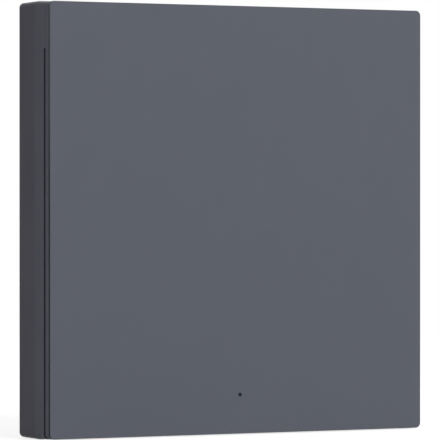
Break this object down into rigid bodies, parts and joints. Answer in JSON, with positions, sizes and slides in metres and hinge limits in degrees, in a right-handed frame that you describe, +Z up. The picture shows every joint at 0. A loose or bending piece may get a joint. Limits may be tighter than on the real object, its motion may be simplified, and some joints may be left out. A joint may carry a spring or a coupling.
{
  "type": "smart light switch",
  "caption": "Square flush-mounted smart light switch, dark slate grey: full-face rocker over a radio-controlled relay in a wall-box housing.",
  "frame": {"origin": "on the wall plane, midway between the two box fixings", "axes": "+X to the right seen from the room, +Y into the wall, +Z up; the rocker faces -Y"},
  "size_m": [0.086, 0.0404, 0.086],
  "materials": {
    "rocker_plastic": "fine matte moulded grain",
    "frame_plastic": "fine matte moulded grain",
    "wall_frame_plastic": "fine matte moulded grain",
    "cover_plastic": "light grey, satin",
    "housing_plastic": "flame-proof grey-black, satin",
    "terminal_plastic": "green, satin",
    "smoked_lens": "smoked, polished",
    "clear_plastic": "clear, polished",
    "strap_steel": "zinc-plated",
    "screw_steel": "zinc-plated",
    "spring_steel": "bright drawn wire",
    "terminal_brass": "nickel-free, stamped",
    "copper_wire": "enamelled copper",
    "board_green": "solder mask",
    "tin_shield": "tinned sheet",
    "black_plastic": "moulded",
    "relay_plastic": "blue",
    "capacitor_sleeve": "shrunk sleeve",
    "film_case": "yellow",
    "varistor_coat": "dipped coat",
    "resistor_coat": "flame-proof coat",
    "ferrite": "sintered",
    "lamp_white": "moulded",
    "insulating_paper": "fish paper"
  },
  "bodies": {
    "root": {"rocker_frame": "frame_plastic", "wall_frame": "wall_frame_plastic", "mounting_strap": "strap_steel", "mechanism_cover": "cover_plastic", "cover_screws": "screw_steel", "light_pipe": "clear_plastic", "return_spring_left": "spring_steel", "return_spring_right": "spring_steel", "tact_switch_body": "black_plastic", "control_board": "board_green", "indicator_led": "lamp_white", "radio_board": "board_green", "radio_shield": "tin_shield", "header_socket": "black_plastic", "header_pins": "black_plastic", "insulating_sheet": "insulating_paper", "rear_housing": "housing_plastic", "power_board": "board_green", "relay_case": "relay_plastic", "relay_base": "black_plastic", "transformer_core": "ferrite", "transformer_bobbin": "black_plastic", "transformer_winding": "copper_wire", "bulk_capacitors": "capacitor_sleeve", "film_capacitor": "film_case", "varistor": "varistor_coat", "fuse_resistor": "resistor_coat", "bridge_rectifier": "black_plastic", "choke_core": "ferrite", "choke_winding": "copper_wire", "terminal_block": "terminal_plastic", "terminal_busbars": "terminal_brass"},
    "rocker": {"rocker_cap": "rocker_plastic", "indicator_lens": "smoked_lens"},
    "plunger": {"key_plunger": "black_plastic"},
    "tact_stem": {"tact_switch_stem": "black_plastic"},
    "terminal_screw_1": {"terminal_screw_1": "screw_steel"},
    "terminal_cage_1": {"terminal_cage_1": "terminal_brass"},
    "terminal_screw_2": {"terminal_screw_2": "screw_steel"},
    "terminal_cage_2": {"terminal_cage_2": "terminal_brass"},
    "terminal_screw_3": {"terminal_screw_3": "screw_steel"},
    "terminal_cage_3": {"terminal_cage_3": "terminal_brass"}
  },
  "joints": [
    {"name": "rocker_press", "type": "hinge", "parent": "root", "child": "rocker", "pos_m": [0, -0.0091, 0.0392], "axis": [1, 0, 0], "range_deg": [0, 0.3494], "stiffness_Nm_per_rad": 4, "springref_deg": -0.34, "deforming": ["return_spring_left", "return_spring_right"]},
    {"name": "plunger_slide", "type": "slide", "parent": "root", "child": "plunger", "axis": [0, 1, 0], "range_m": [0, 0.00042]},
    {"name": "stem_slide", "type": "slide", "parent": "root", "child": "tact_stem", "axis": [0, 1, 0], "range_m": [0, 0.00042]},
    {"name": "screw_turn_1", "type": "hinge", "parent": "root", "child": "terminal_screw_1", "pos_m": [-0.008, 0.0221, -0.019], "axis": [0, -1, 0], "range_deg": [0, 1441]},
    {"name": "cage_rise_1", "type": "slide", "parent": "root", "child": "terminal_cage_1", "axis": [0, 1, 0], "range_m": [0, 0.002]},
    {"name": "screw_turn_2", "type": "hinge", "parent": "root", "child": "terminal_screw_2", "pos_m": [0, 0.0221, -0.019], "axis": [0, -1, 0], "range_deg": [0, 1441]},
    {"name": "cage_rise_2", "type": "slide", "parent": "root", "child": "terminal_cage_2", "axis": [0, 1, 0], "range_m": [0, 0.002]},
    {"name": "screw_turn_3", "type": "hinge", "parent": "root", "child": "terminal_screw_3", "pos_m": [0.008, 0.0221, -0.019], "axis": [0, -1, 0], "range_deg": [0, 1441]},
    {"name": "cage_rise_3", "type": "slide", "parent": "root", "child": "terminal_cage_3", "axis": [0, 1, 0], "range_m": [0, 0.002]}
  ],
  "couplings": [
    {"joint": "plunger_slide", "follows": "rocker_press", "m_per_rad": 0.0672},
    {"joint": "stem_slide", "follows": "rocker_press", "m_per_rad": 0.0672},
    {"joint": "screw_turn_1", "follows": "cage_rise_1", "rad_per_m": 12566},
    {"joint": "screw_turn_2", "follows": "cage_rise_2", "rad_per_m": 12566},
    {"joint": "screw_turn_3", "follows": "cage_rise_3", "rad_per_m": 12566}
  ]
}
